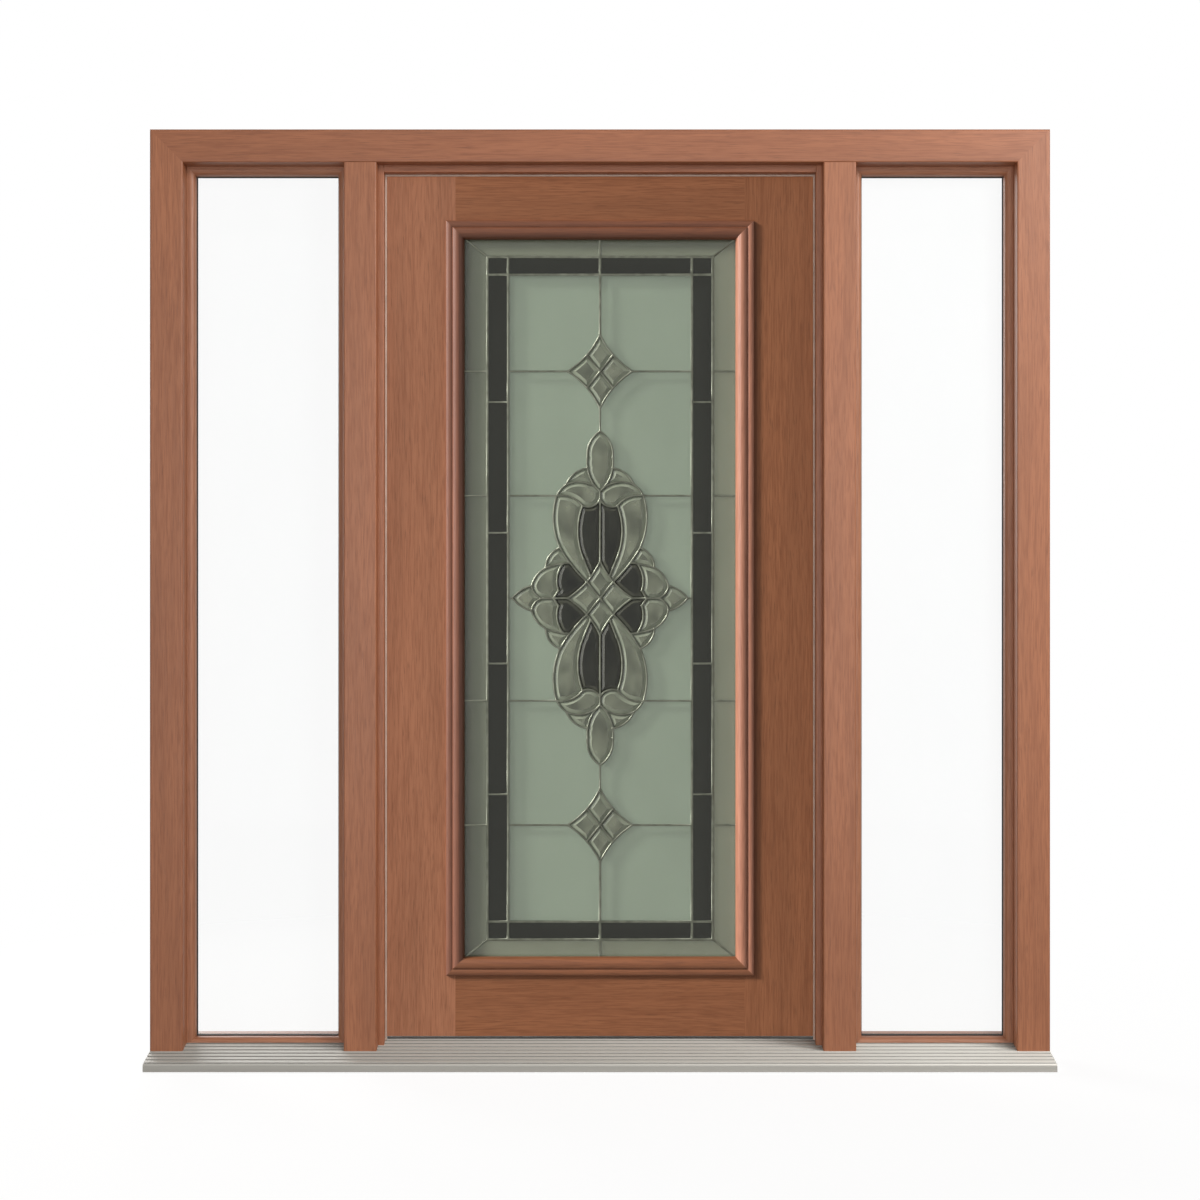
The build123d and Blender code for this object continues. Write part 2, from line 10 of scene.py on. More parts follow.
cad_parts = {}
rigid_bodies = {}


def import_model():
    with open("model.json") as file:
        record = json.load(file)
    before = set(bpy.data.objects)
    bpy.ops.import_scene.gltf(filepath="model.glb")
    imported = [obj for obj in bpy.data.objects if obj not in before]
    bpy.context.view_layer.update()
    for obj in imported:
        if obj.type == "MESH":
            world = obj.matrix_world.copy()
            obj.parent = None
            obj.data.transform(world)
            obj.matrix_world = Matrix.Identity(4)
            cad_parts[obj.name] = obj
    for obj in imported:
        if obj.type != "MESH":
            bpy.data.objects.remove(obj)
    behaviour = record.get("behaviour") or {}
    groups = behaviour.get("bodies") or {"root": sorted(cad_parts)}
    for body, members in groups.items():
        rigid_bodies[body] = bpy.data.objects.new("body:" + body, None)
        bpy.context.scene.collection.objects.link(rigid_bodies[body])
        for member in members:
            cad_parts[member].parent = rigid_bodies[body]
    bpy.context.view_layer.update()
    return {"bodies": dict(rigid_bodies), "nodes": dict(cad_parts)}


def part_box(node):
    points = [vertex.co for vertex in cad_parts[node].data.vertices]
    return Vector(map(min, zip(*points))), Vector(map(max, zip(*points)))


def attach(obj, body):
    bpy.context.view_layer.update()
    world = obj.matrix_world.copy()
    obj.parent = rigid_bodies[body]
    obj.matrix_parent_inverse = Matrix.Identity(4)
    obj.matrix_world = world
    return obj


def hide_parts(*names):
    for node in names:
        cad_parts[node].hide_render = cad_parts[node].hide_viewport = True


bl_info = {
    "name": "Leadlight door set",
    "version": (1, 0, 0),
    "blender": (4, 5, 0),
    "location": "View3D > Sidebar > Door set",
    "description": "Finishes an entrance door set with a leadlight leaf and two sidelights",
    "category": "Object",
}

# Places nearer to each other than this, in metres, are the same place.
SAME_PLACE = 0.00001

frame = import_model()


def linear(code):
    """An sRGB hex value as linear red, green and blue."""
    parts = [int(code[start:start + 2], 16) / 255 for start in (0, 2, 4)]
    return [part / 12.92 if part <= 0.04045 else ((part + 0.055) / 1.055) ** 2.4 for part in parts]


# Settings that a user would change
def colour_setting(name, description, code):
    return bpy.props.FloatVectorProperty(
        name=name, description=description, default=linear(code), subtype="COLOR", min=0, max=1
    )


def length_setting(name, description, metres):
    return bpy.props.FloatProperty(
        name=name, description=description, default=metres, min=0, unit="LENGTH", precision=4
    )


def share_setting(name, description, share):
    return bpy.props.FloatProperty(
        name=name, description=description, default=share, min=0, max=1, subtype="FACTOR"
    )


def strength_setting(name, description, strength):
    return bpy.props.FloatProperty(name=name, description=description, default=strength, min=0)


class TimberSettings(bpy.types.PropertyGroup):
    post_stain: colour_setting("Post stain", "Colour of the jambs and mullions", "a26644")
    head_stain: colour_setting("Head stain", "Colour of the head", "995e3d")
    bead_stain: colour_setting("Bead stain", "Colour of the glazing beads", "a87152")
    stile_stain: colour_setting("Hinge stile stain", "Colour of the hinge stile", "966449")
    rail_stain: colour_setting("Rail stain", "Colour of the lock stile and the rails", "875639")
    # The moulding stains differ by side: besides the boards' own tones, the left and top carry painted
    # shade and the right carries painted light
    left_stain: colour_setting("Left moulding stain", "Colour of the left mouldings", "7c4e39")
    right_stain: colour_setting("Right moulding stain", "Colour of the right mouldings", "a8725a")
    top_stain: colour_setting("Top moulding stain", "Colour of the top mouldings", "693c24")
    bottom_stain: colour_setting("Bottom moulding stain", "Colour of the bottom mouldings", "7a4a2d")
    streak_width: length_setting("Streak width", "Width of the darker grain streaks", 0.008)
    pore_width: length_setting("Pore width", "Width of the short open pores", 0.0009)
    gloss: share_setting("Lacquer", "How much satin lacquer lies on the timber", 0.2)


class GlassSettings(bpy.types.PropertyGroup):
    field_tint: colour_setting("Field tint", "Colour of the plain leadlight glass", "9dab95")
    border_tint: colour_setting("Border tint", "Colour of the outer border's glass", "8f937c")
    dark_tint: colour_setting("Dark tint", "Colour of the charcoal glass", "26271f")
    # The two bevel colours are painted highlights, lighter than the glass whose edges they colour
    dark_bevel_highlight: colour_setting("Dark bevels", "Colour of the charcoal glass's bevels", "4a4b3e")
    clear_tint: colour_setting("Clear tint", "Colour of the flat middles of the clear panes", "777b69")
    clear_bevel_highlight: colour_setting("Clear bevels", "Colour of the clear panes' bevels", "a5ac95")
    rear_tint: colour_setting("Rear tint", "Colour of the obscure pane behind", "a0b097")
    bevel_width: length_setting("Bevel width", "Width of the ground bevels", 0.0085)
    bevel_fall: length_setting("Bevel fall", "How much thinner a bevel is at its edge", 0.0034)
    sample_step: length_setting("Outline step", "Spacing of the points along a bevel", 0.0025)


class MetalSettings(bpy.types.PropertyGroup):
    sill_tone: colour_setting("Sill", "Colour of the mill aluminium", "9c9992")
    came_tone: colour_setting("Came", "Colour of the lead cames", "66685c")
    brass_tone: colour_setting("Hinges", "Colour of the satin brass", "b08d4f")
    came_crown: length_setting("Came crown", "How far the cames are rounded", 0.0009)
    screw_radius: length_setting("Screw radius", "Radius of a hinge screw's head", 0.0042)


class StageSettings(bpy.types.PropertyGroup):
    floor_tone: colour_setting("Floor", "Colour of the floor", "f4f4f2")
    ambient: strength_setting("Ambient", "Strength of the light from all round", 0.2)
    frame_fill: strength_setting("Frame fill", "Power of the broad lamp in front of the frame", 138)
    frame_lamp: strength_setting("Frame lamp", "Power of the lamp at the upper right", 99)
    leaf_strip: strength_setting("Leaf strip", "Power of the upright strip lamp on the left", 40)
    leaf_sun: strength_setting("Leaf sun", "Strength of the light across the leaf", 5.1)
    came_strip: strength_setting("Came strip", "Power of the strip lamp that the cames mirror", 40)
    sill_lamp: strength_setting("Sill lamp", "Power of the lamp above the sill's right end", 130)
    rear_lamp: strength_setting("Rear lamp", "Power of the lamp behind", 70)


# Selecting, copying and finishing
def deselect():
    bpy.ops.object.select_all(action="DESELECT")


def pick(piece):
    """Make one object the active and only selected one."""
    deselect()
    piece.select_set(True)
    bpy.context.view_layer.objects.active = piece


def copy_of(node, name):
    """A merged copy of a CAD node, which may then be shaped."""
    source = frame["nodes"][node]
    piece = bpy.data.objects.new(name, source.data.copy())
    bpy.context.scene.collection.objects.link(piece)
    pick(piece)
    bpy.ops.object.mode_set(mode="EDIT")
    bpy.ops.mesh.select_all(action="SELECT")
    bpy.ops.mesh.remove_doubles(threshold=SAME_PLACE)
    bpy.ops.mesh.select_all(action="DESELECT")
    bpy.ops.object.mode_set(mode="OBJECT")
    return piece


def new_piece(name, build):
    """A new object whose mesh the given function fills in."""
    mesh = bpy.data.meshes.new(name)
    shape = bmesh.new()
    build(shape)
    shape.to_mesh(mesh)
    shape.free()
    piece = bpy.data.objects.new(name, mesh)
    bpy.context.scene.collection.objects.link(piece)
    return piece


def settle(piece):
    """Put the place of a finished piece into its mesh."""
    pick(piece)
    bpy.ops.object.transform_apply(location=True, rotation=True, scale=True)
    deselect()


def faces_at(shape, level):
    """The faces that lie flat at a level of Y, in the mesh's own order."""
    return [face for face in shape.faces if all(abs(vert.co.y - level) < SAME_PLACE for vert in face.verts)]


def dress(piece, material):
    piece.data.materials.clear()
    piece.data.materials.append(material)


def dress_node(node, material):
    frame["nodes"][node].material_slots[0].material = material


# Materials
def add_node(tree, kind, inputs=None, **settings):
    """A node with its settings and inputs: values, sockets, or nodes whose first used output is meant."""
    node = tree.nodes.new("ShaderNode" + kind)
    for name, value in settings.items():
        setattr(node, name, value)
    for name, value in (inputs or {}).items():
        if isinstance(value, bpy.types.Node):
            value = next(output for output in value.outputs if output.enabled)
        if isinstance(value, bpy.types.NodeSocket):
            tree.links.new(value, node.inputs[name])
        else:
            node.inputs[name].default_value = value
    return node


def new_material(name):
    """An empty material and its nodes."""
    material = bpy.data.materials.new(name)
    material.use_nodes = True
    material.node_tree.nodes.clear()
    return material, material.node_tree


def add_surface(tree, inputs):
    """The shader in which a material's patterns come together."""
    surface = add_node(tree, "BsdfPrincipled", inputs)
    add_node(tree, "OutputMaterial", {"Surface": surface})


def pattern(tree, place, scale, start=(0, 0, 0), detail=2.0, roughness=0.5):
    """A cloudy pattern from 0 to 1 over a place on the piece, with its scale along each axis."""
    scaled = add_node(tree, "Mapping", {"Vector": place, "Location": start, "Scale": scale})
    inputs = {"Vector": scaled, "Scale": 1.0, "Detail": detail, "Roughness": roughness}
    return add_node(tree, "TexNoise", inputs)


def varied(tree, clouds, tone, darker, lighter, low=0.3, high=0.7):
    """A tone made darker and lighter by a pattern."""
    share = add_node(tree, "MapRange", {"Value": clouds, "From Min": low, "From Max": high})
    inputs = {0: share, 6: rgba(tone, darker), 7: rgba(tone, lighter)}
    return add_node(tree, "Mix", inputs, data_type="RGBA")


def rgba(colour, factor=1.0):
    return [min(1.0, channel * factor) for channel in colour] + [1.0]


def along_board(axis, across_rate, along_rate):
    """Scales for a pattern that runs along the board's length, axis 0 for X or 2 for Z."""
    scale = [across_rate] * 3
    scale[axis] = along_rate
    return scale


def grain_place(tree, axis, start):
    """The place on a board, for a grain that wanders sideways by about a centimetre in a metre."""
    place = add_node(tree, "TexCoord").outputs["Object"]
    wander = pattern(tree, place, along_board(axis, 3.0, 1.2), start, detail=1.0)
    middle = {0: wander.outputs["Color"], 1: (0.5, 0.5, 0.5)}
    centred = add_node(tree, "VectorMath", middle, operation="SUBTRACT")
    drift = add_node(tree, "VectorMath", {0: centred, "Scale": 0.03}, operation="SCALE")
    return add_node(tree, "VectorMath", {0: place, 1: drift}, operation="ADD")


def stained_hardwood(name, stain, axis, shift, polish):
    """Hardwood, planed, stained and lacquered: straight grain, soft streaks and fine open pores.

    Seen from a few metres it is an even warm brown with slow changes of tone along each board.
    The streaks show; the pores only show close by. Each board has its own shift of the grain.
    Polish is how strongly the lacquer mirrors.
    """
    timber = bpy.context.scene.door_timber
    material, tree = new_material(name)
    # Uneven steps, so that no two boards show the same part of the pattern
    start = [3.1 * shift, 1.7 * shift, 5.3 * shift]
    place = grain_place(tree, axis, start)
    rate = 1 / timber.streak_width
    pore_rate = 0.5 / timber.pore_width
    broad = pattern(tree, place, along_board(axis, 16, 1.1), start)
    streaks = pattern(tree, place, along_board(axis, rate, rate / 36), start, detail=3.0, roughness=0.6)
    fine = pattern(tree, place, along_board(axis, 2.8 * rate, rate / 8), start)
    pores = pattern(tree, place, along_board(axis, pore_rate, pore_rate / 22), start, detail=1.0)
    colour = varied(tree, broad, stain, 0.96, 1.2)
    red, green, blue = stain
    dark = rgba((0.62 * red, 0.52 * green, 0.46 * blue))
    # Each pattern with its lowest and highest value in use, the most it covers, and its colour
    layers = (
        (streaks, 0.44, 0.7, 0.36, dark),
        (fine, 0.44, 0.66, 0.48, dark),
        (pores, 0.6, 0.72, 0.35, rgba(stain, 0.35)),
    )
    shares = []
    for clouds, low, high, most, tone in layers:
        inputs = {"Value": clouds, "From Min": low, "From Max": high, "To Max": most}
        shares.append(add_node(tree, "MapRange", inputs))
        colour = add_node(tree, "Mix", {0: shares[-1], 6: colour, 7: tone}, data_type="RGBA")
    depth = add_node(tree, "Math", {0: shares[0], 1: shares[2]}, operation="ADD")
    relief = {"Height": depth, "Strength": 0.25, "Distance": 0.0006}
    sheen = {"Value": fine, "From Min": 0.3, "From Max": 0.7, "To Min": 0.42, "To Max": 0.5}
    add_surface(tree, {
        "Base Color": colour,
        "Normal": add_node(tree, "Bump", relief, invert=True),
        "Roughness": add_node(tree, "MapRange", sheen),
        "Specular IOR Level": polish,
        "Coat Weight": timber.gloss * polish,
        "Coat Roughness": 0.3,
    })
    return material


def extruded_metal(tree, place, tone):
    """What makes extruded aluminium: a mill finish, dull silver with faint lines along its length."""
    # Die lines are a few tenths of a millimetre, drawn at 2 mm so that they show.
    lines = pattern(tree, place, (1.3, 520, 520), detail=3.0, roughness=0.6)
    clouds = pattern(tree, place, (3, 14, 14))
    sheen = {"Value": clouds, "From Min": 0.3, "From Max": 0.7, "To Min": 0.5, "To Max": 0.6}
    relief = {"Height": lines, "Strength": 0.06, "Distance": 0.0004}
    return {
        "Base Color": varied(tree, lines, tone, 0.92, 1.06),
        "Roughness": add_node(tree, "MapRange", sheen),
        "Normal": add_node(tree, "Bump", relief),
        "Metallic": 0.2,
    }


def mill_aluminium(name, tone):
    """Clean extruded aluminium: dull silver."""
    material, tree = new_material(name)
    add_surface(tree, extruded_metal(tree, add_node(tree, "TexCoord").outputs["Object"], tone))
    return material


def ribbed_aluminium(name, tone, ribs_front):
    """The same metal with a painted highlight on the faces that turn up and painted shade on the walls of
    the grooves, which makes the ribs stand out.

    The grooves are found by the slant of their walls; the rounded nose in front of them gets no painted
    shade.
    """
    material, tree = new_material(name)
    coordinates = add_node(tree, "TexCoord").outputs
    metal = extruded_metal(tree, coordinates["Object"], tone)
    rise = add_node(tree, "SeparateXYZ", {"Vector": coordinates["Normal"]}).outputs["Z"]
    depth = add_node(tree, "SeparateXYZ", {"Vector": coordinates["Object"]}).outputs["Y"]
    behind = {"Value": depth, "From Min": ribs_front - 0.0002, "From Max": ribs_front}
    leaning = add_node(tree, "MapRange", {"Value": rise, "From Min": 0.3, "From Max": 0.6})
    steep = {"Value": rise, "From Min": 0.89, "From Max": 0.95, "To Min": 1.0, "To Max": 0.0}
    walls = {0: leaning, 1: add_node(tree, "MapRange", steep)}
    among_ribs = add_node(tree, "MapRange", behind)
    slanting = add_node(tree, "Math", walls, operation="MULTIPLY")
    # Painted shade: the slanting walls of the grooves, behind the nose, are darkened
    groove_painted_shade = add_node(tree, "Math", {0: slanting, 1: among_ribs}, operation="MULTIPLY")
    # Painted highlight: faces that turn up are made lighter, towards the tone at 1.08
    painted_top_highlight = add_node(tree, "MapRange", {"Value": rise, "From Min": 0.3, "From Max": 0.95})
    top_highlight_mix = {0: painted_top_highlight, 6: metal["Base Color"], 7: rgba(tone, 1.08)}
    # The painted shade mixes the groove walls towards the tone at 0.16
    groove_shade_mix = {0: groove_painted_shade, 6: add_node(tree, "Mix", top_highlight_mix, data_type="RGBA"), 7: rgba(tone, 0.16)}
    metal["Base Color"] = add_node(tree, "Mix", groove_shade_mix, data_type="RGBA")
    add_surface(tree, metal)
    return material


def lead(name, tone):
    """Milled lead that has gone dull: grey with a slightly uneven, soft shine."""
    material, tree = new_material(name)
    place = add_node(tree, "TexCoord").outputs["Object"]
    patches = pattern(tree, place, (60, 60, 60), detail=3.0, roughness=0.6)
    sheen = {"Value": patches, "From Min": 0.3, "From Max": 0.7, "To Min": 0.28, "To Max": 0.4}
    relief = {"Height": patches, "Strength": 0.2, "Distance": 0.0005}
    add_surface(tree, {
        "Base Color": varied(tree, patches, tone, 0.78, 1.2, 0.35, 0.65),
        "Roughness": add_node(tree, "MapRange", sheen),
        "Normal": add_node(tree, "Bump", relief),
        "Metallic": 1.0,
    })
    return material


def satin_brass(name, tone):
    """Brushed brass: warm yellow with fine upright brush lines."""
    material, tree = new_material(name)
    lines = pattern(tree, add_node(tree, "TexCoord").outputs["Object"], (900, 900, 25))
    sheen = {"Value": lines, "From Min": 0.3, "From Max": 0.7, "To Min": 0.26, "To Max": 0.38}
    add_surface(tree, {
        "Base Color": varied(tree, lines, tone, 0.85, 1.1),
        "Roughness": add_node(tree, "MapRange", sheen),
        "Metallic": 1.0,
    })
    return material


def extruded_rubber(name, code, roughness):
    """Extruded rubber: matt, with a faint uneven bloom."""
    material, tree = new_material(name)
    bloom = pattern(tree, add_node(tree, "TexCoord").outputs["Object"], (35, 35, 35), detail=3.0)
    add_surface(tree, {
        "Base Color": varied(tree, bloom, linear(code), 0.85, 1.15),
        "Roughness": roughness,
    })
    return material


def sheet_glass(name, tint, cover, wave, roughness=0.12):
    """Sheet or float glass in a tint, whose faint waves bend what it mirrors.

    Cover is how much of what lies behind one face hides.
    """
    material, tree = new_material(name)
    place = add_node(tree, "TexCoord").outputs["Object"]
    drift = pattern(tree, place, (9, 9, 6))
    ripple = pattern(tree, place, (55, 55, 38))
    relief = {"Height": ripple, "Strength": wave, "Distance": 0.0015}
    add_surface(tree, {
        "Base Color": varied(tree, drift, tint, 0.94, 1.05),
        "Normal": add_node(tree, "Bump", relief),
        "Roughness": roughness,
        "Specular IOR Level": 0.35,
        "Alpha": cover,
    })
    return material


def bevelled_glass(name, tint, ground, cover):
    """Plate glass whose bevels are painted lighter than the dark flat middle: a painted highlight on the
    bevels.
    """
    material, tree = new_material(name)
    coordinates = add_node(tree, "TexCoord").outputs
    drift = pattern(tree, coordinates["Object"], (24, 24, 17))
    facing = add_node(tree, "SeparateXYZ", {"Vector": coordinates["Normal"]}).outputs["Y"]
    upright = add_node(tree, "Math", {0: facing}, operation="ABSOLUTE")
    flat = add_node(tree, "MapRange", {"Value": upright, "From Min": 0.96, "From Max": 0.995})
    share = add_node(tree, "MapRange", {"Value": drift, "From Min": 0.3, "From Max": 0.7})
    # Painted highlight: the slanting bevels take the lighter bevel colour, and the flat middle takes the
    # tint
    edge = {0: share, 6: rgba(ground, 1.15), 7: rgba(ground, 0.6)}
    middle = {0: share, 6: rgba(tint, 0.58), 7: rgba(tint, 1.5)}
    colours = {
        0: flat,
        6: add_node(tree, "Mix", edge, data_type="RGBA"),
        7: add_node(tree, "Mix", middle, data_type="RGBA"),
    }
    add_surface(tree, {
        "Base Color": add_node(tree, "Mix", colours, data_type="RGBA"),
        "Roughness": 0.16,
        "Specular IOR Level": 0.35,
        "Alpha": cover,
    })
    return material


def obscure_glass(name, tint, cover):
    """Rolled obscure glass: a soft stipple a few millimetres across scatters what is behind."""
    material, tree = new_material(name)
    place = add_node(tree, "TexCoord").outputs["Object"]
    stipple = pattern(tree, place, (230, 230, 230), roughness=0.4)
    clouds = pattern(tree, place, (3.2, 3.2, 2.2))
    relief = {"Height": stipple, "Strength": 0.35, "Distance": 0.001}
    add_surface(tree, {
        "Base Color": varied(tree, clouds, tint, 0.94, 1.05),
        "Normal": add_node(tree, "Bump", relief),
        "Roughness": 0.38,
        "Specular IOR Level": 0.35,
        "Alpha": cover,
    })
    return material


# Leadlight outlines
# The outline counts as turning a corner beyond this angle.
CORNER_TURN = math.radians(14)
# Round a corner that points into the pane, the bevel turns by about this angle from point to point.
FAN_TURN = math.radians(12)
# Points of the bevel's inner line keep at least this share of the outline's spacing apart.
LEAST_SPACING = 0.2
# How delaunay_2d_cdt is asked for triangles inside the outline only.
TRIANGLES_INSIDE = 1


def pane_outlines(node):
    """The outline of each pane of a glass node seen from the front, as points (x, z)."""
    piece = copy_of(node, "outline_" + node)
    shape = bmesh.new()
    shape.from_mesh(piece.data)
    front_faces = faces_at(shape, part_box(node)[0][1])
    front = {face.index for face in front_faces}
    following = {}
    for face in front_faces:
        for loop in face.loops:
            if sum(near.index in front for near in loop.edge.link_faces) == 1:
                following[loop.vert.index] = loop.link_loop_next.vert.index
    shape.verts.ensure_lookup_table()
    outlines = []
    while following:
        start, step = following.popitem()
        ring = [start]
        while step != start:
            ring.append(step)
            step = following.pop(step)
        outlines.append([Vector((shape.verts[i].co.x, shape.verts[i].co.z)) for i in ring])
    shape.free()
    bpy.data.meshes.remove(piece.data)
    return [turned_left(outline) for outline in outlines]


def sides(points):
    """Each side of an outline as its two ends."""
    return zip(points, points[1:] + points[:1])


def turned_left(points):
    """The points in the order that has the inside on the left."""
    doubled = sum(first.x * second.y - second.x * first.y for first, second in sides(points))
    return points if doubled > 0 else points[::-1]


def evenly_divided(points, step):
    """The outline with its long sides divided."""
    result = []
    for first, second in sides(points):
        count = max(1, round((second - first).length / step))
        result += [first.lerp(second, index / count) for index in range(count)]
    return result


def inward_ways(points):
    """The places on an outline from which its bevel runs inwards, each with its direction.

    A corner that points into the pane has a fan of directions, and one that points out has none.
    """
    ways = []
    for index, point in enumerate(points):
        arriving = (point - points[index - 1]).normalized()
        leaving = (points[(index + 1) % len(points)] - point).normalized()
        first, last = Vector((-arriving.y, arriving.x)), Vector((-leaving.y, leaving.x))
        turn = math.atan2(arriving.cross(leaving), arriving.dot(leaving))
        if abs(turn) <= CORNER_TURN:
            ways.append((point, (first + last).normalized()))
        elif turn < 0:
            fan = max(2, round(-turn / FAN_TURN))
            ways += [(point, first.lerp(last, part / fan).normalized()) for part in range(fan + 1)]
    return ways


def room_ahead(points, point, direction, width):
    """How far the bevel can run in before another side of the pane is as near."""
    room = width
    for other in points:
        way = other - point
        ahead = way.dot(direction)
        if ahead > SAME_PLACE:
            room = min(room, way.length_squared / (2 * ahead))
    return room


def inner_line(points, width, step):
    """The points where the bevel ends, without those that crowd each other."""
    inner = []
    for point, direction in inward_ways(points):
        place = point + direction * room_ahead(points, point, direction, width)
        if all((place - other).length > LEAST_SPACING * step for other in inner):
            inner.append(place)
    return inner


def depth_inside(place, points):
    """How far a place inside an outline is from the nearest of its sides."""
    nearest = math.inf
    for first, second in sides(points):
        share = intersect_point_line(place, first, second)[1]
        foot = first.lerp(second, min(1, max(0, share)))
        nearest = min(nearest, (place - foot).length)
    return nearest


def add_bevelled_pane(shape, outline, front, back, glass):
    """One pane with a bevel ground all round its front, whose width a narrow part limits.

    The front is one net of triangles over the outline and the bevel's inner line. The deeper inside
    the outline a point lies, the further forward it is, so the net can't fold over itself.
    """
    points = evenly_divided(outline, glass.sample_step)
    count = len(points)
    inner = inner_line(points, glass.bevel_width, glass.sample_step)
    places, _, triangles, sources, _, _ = delaunay_2d_cdt(
        points + inner, [], [range(count)], TRIANGLES_INSIDE, SAME_PLACE
    )
    net = []
    edge = {}
    for place, origins in zip(places, sources):
        rim = [origin for origin in origins if origin < count]
        depth = 0 if rim else min(glass.bevel_width, depth_inside(place, points))
        y = front + glass.bevel_fall * (1 - depth / glass.bevel_width)
        net.append(shape.verts.new((place.x, y, place.y)))
        edge.update((origin, net[-1]) for origin in rim)
    for triangle in triangles:
        shape.faces.new([net[corner] for corner in triangle])
    rear = [shape.verts.new((point.x, back, point.y)) for point in points]
    for index in range(count):
        following = (index + 1) % count
        shape.faces.new([edge[following], edge[index], rear[index], rear[following]])
    shape.faces.new(rear)


def bevelled_panes(node, name):
    """Bevelled glass in place of a node's flat panes."""
    glass = bpy.context.scene.door_glass
    outlines = pane_outlines(node)
    (_, front, _), (_, back, _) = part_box(node)

    def build(shape):
        for outline in outlines:
            add_bevelled_pane(shape, outline, front, back, glass)
        bmesh.ops.recalc_face_normals(shape, faces=shape.faces)

    piece = new_piece(name, build)
    pick(piece)
    bpy.ops.object.shade_smooth_by_angle(angle=math.radians(4))
    deselect()
    return piece


# Operators
# Each board with the axis of its grain, 0 for X or 2 for Z
FRAME_BOARDS = {"left_jamb": 2, "right_jamb": 2, "head": 0, "left_mullion": 2, "right_mullion": 2}
LEAF_BOARDS = {"hinge_stile": 2, "lock_stile": 2, "top_rail": 0, "bottom_rail": 0}
BEAD_BOARDS = {"outer": 2, "inner": 2, "top": 0, "bottom": 0}
MOULDING_BOARDS = {"left": 2, "right": 2, "bottom": 0, "top": 0}
# How far the flat boards of the leaf and the rest of the timber are polished
LEAF_POLISH = 0.25
POLISH = 0.45

SILL_NODES = ("sill", "left_sill_end_cap", "right_sill_end_cap")
# How far the sill's smooth nose reaches back to the first groove
NOSE_DEPTH = 0.005
# Steps by which a came's face is rounded: inwards and outwards, as shares of its crown
CROWN_STEPS = ((0.4, 0.42), (0.7, 0.38), (0.9, 0.2))


class DOOR_OT_frame_timber(bpy.types.Operator):
    """Stain the jambs, mullions, head and glazing beads"""

    bl_idname = "door.frame_timber"
    bl_label = "Frame timber"

    def execute(self, context):
        timber = context.scene.door_timber
        for shift, (node, axis) in enumerate(FRAME_BOARDS.items(), 1):
            stain = timber.head_stain if node == "head" else timber.post_stain
            dress_node(node, stained_hardwood(node + "_timber", stain, axis, shift, POLISH))
        for side, first_shift in (("left", 7), ("right", 12)):
            for shift, (place, axis) in enumerate(BEAD_BOARDS.items(), first_shift):
                node = f"{side}_sidelight_{place}_bead"
                dress_node(node, stained_hardwood(node + "_timber", timber.bead_stain, axis, shift, POLISH))
        return {"FINISHED"}


class DOOR_OT_leaf_timber(bpy.types.Operator):
    """Stain the stiles, rails and mouldings of the leaf"""

    bl_idname = "door.leaf_timber"
    bl_label = "Leaf timber"

    def execute(self, context):
        timber = context.scene.door_timber
        for shift, (node, axis) in enumerate(LEAF_BOARDS.items(), 21):
            stain = timber.stile_stain if node == "hinge_stile" else timber.rail_stain
            dress_node(node, stained_hardwood(node + "_timber", stain, axis, shift, LEAF_POLISH))
        for face, first_shift in (("front", 26), ("back", 31)):
            for shift, (place, axis) in enumerate(MOULDING_BOARDS.items(), first_shift):
                node = f"{face}_moulding_{place}"
                # Each side's stain holds painted light or shade as well as the board's tone
                stain = getattr(timber, place + "_stain")
                dress_node(node, stained_hardwood(node + "_timber", stain, axis, shift, POLISH))
        return {"FINISHED"}


class DOOR_OT_sill(bpy.types.Operator):
    """Finish the ribbed sill and its end caps"""

    bl_idname = "door.sill"
    bl_label = "Sill"

    def execute(self, context):
        ribs_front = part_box("sill")[0][1] + NOSE_DEPTH
        tone = context.scene.door_metal.sill_tone
        material = ribbed_aluminium("sill_mill_aluminium", tone, ribs_front)
        for node in SILL_NODES:
            dress_node(node, material)
        return {"FINISHED"}


class DOOR_OT_sidelight_glazing(bpy.types.Operator):
    """Finish the panes, gaskets and door seals"""

    bl_idname = "door.sidelight_glazing"
    bl_label = "Sidelight glazing and seals"

    def execute(self, context):
        pane = sheet_glass("clear_float_glass", linear("dfe6e2"), cover=0.05, wave=0.02, roughness=0.03)
        gasket = extruded_rubber("black_gasket_rubber", "2a2724", 0.55)
        seal = extruded_rubber("pale_seal_rubber", "c8b3a4", 0.5)
        for side in ("left", "right"):
            dress_node(f"{side}_sidelight_glass", pane)
            dress_node(f"{side}_sidelight_gasket", gasket)
        for place in ("left", "right", "top"):
            dress_node(f"{place}_door_seal", seal)
        return {"FINISHED"}


class DOOR_OT_cames(bpy.types.Operator):
    """Round the faces of the lead cames and their soldered joints"""

    bl_idname = "door.cames"
    bl_label = "Lead cames"

    def execute(self, context):
        metal = context.scene.door_metal
        (_, front, _), (_, back, _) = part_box("leadlight_came")
        piece = copy_of("leadlight_came", "rounded_cames")
        bpy.ops.object.mode_set(mode="EDIT")
        bpy.ops.mesh.select_mode(type="FACE")
        for level, outwards in ((front, -1), (back, 1)):
            bpy.ops.mesh.select_all(action="DESELECT")
            shape = bmesh.from_edit_mesh(piece.data)
            for face in faces_at(shape, level):
                face.select_set(True)
            bmesh.update_edit_mesh(piece.data)
            bpy.ops.transform.translate(value=(0, -outwards * metal.came_crown, 0))
            for inwards, up in CROWN_STEPS:
                bpy.ops.mesh.inset(
                    thickness=inwards * metal.came_crown,
                    depth=up * metal.came_crown,
                    use_even_offset=False,
                )
        bpy.ops.object.mode_set(mode="OBJECT")
        bpy.ops.object.shade_smooth_by_angle(angle=math.radians(60))
        dress(piece, lead("dull_lead", metal.came_tone))
        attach(piece, "leaf")
        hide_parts("leadlight_came")
        deselect()
        return {"FINISHED"}


